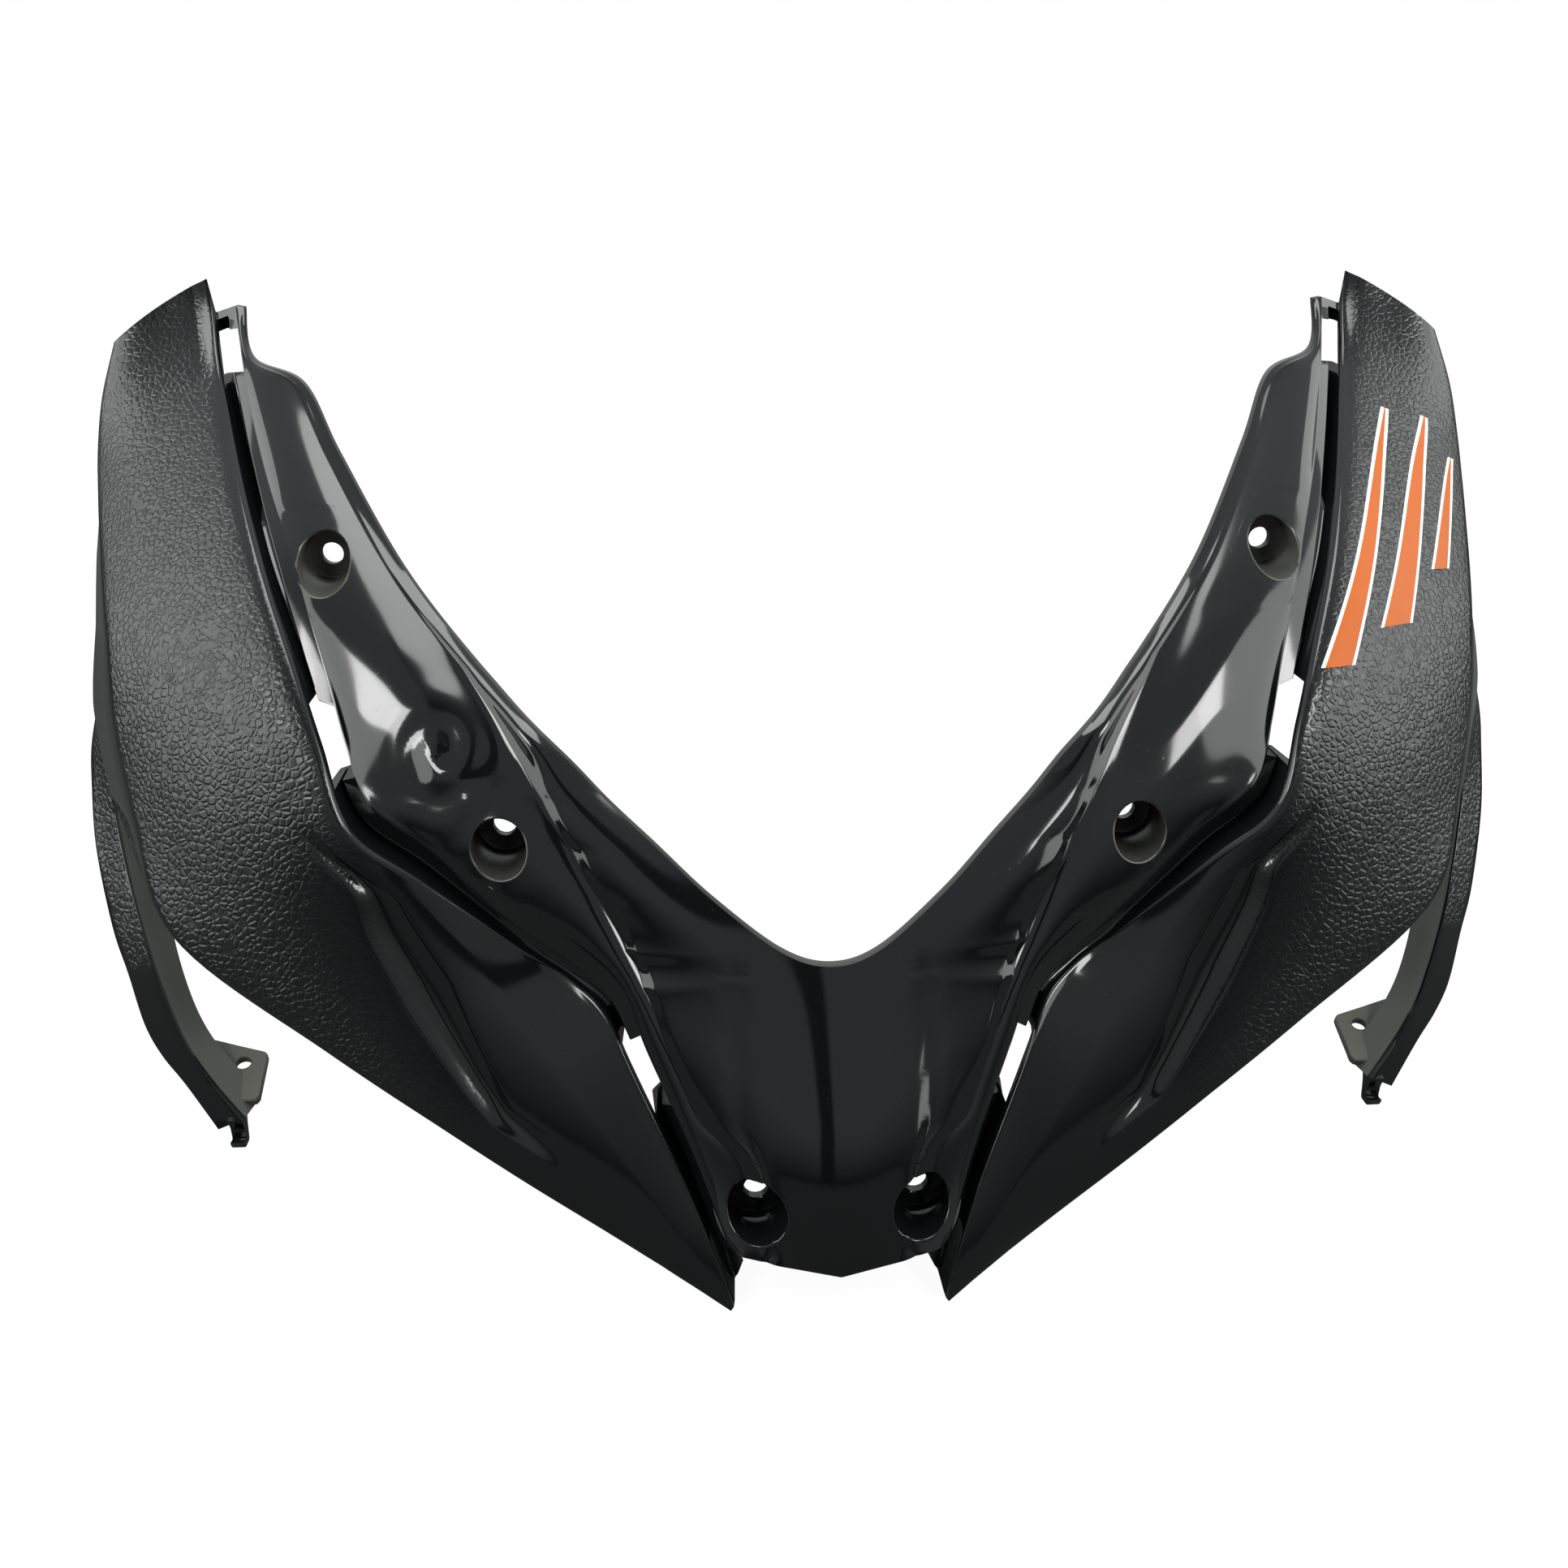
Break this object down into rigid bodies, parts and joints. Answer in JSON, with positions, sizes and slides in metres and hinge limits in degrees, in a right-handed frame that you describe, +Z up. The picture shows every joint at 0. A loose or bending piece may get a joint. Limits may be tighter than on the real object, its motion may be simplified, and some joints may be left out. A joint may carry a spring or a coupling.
{
  "type": "motorcycle headlight fairing",
  "caption": "Moulded front mask for a trail motorcycle, with two upswept wings, a stepped light channel beside each wing, screw wells and rear bracket arms.",
  "frame": {"origin": "midway between the two nose screws, on the faces that their heads bear on", "axes": "+X to the right seen from the front, +Y rearwards along the mould draw, +Z up"},
  "size_m": [0.4352, 0.2082, 0.2438],
  "materials": {
    "shell_plastic": "black, leather grain on the wings, smooth satin elsewhere",
    "printed_vinyl": "glossy printed film"
  },
  "bodies": {
    "root": {"fairing_shell": "shell_plastic", "wing_decal": "printed_vinyl"}
  },
  "joints": []
}
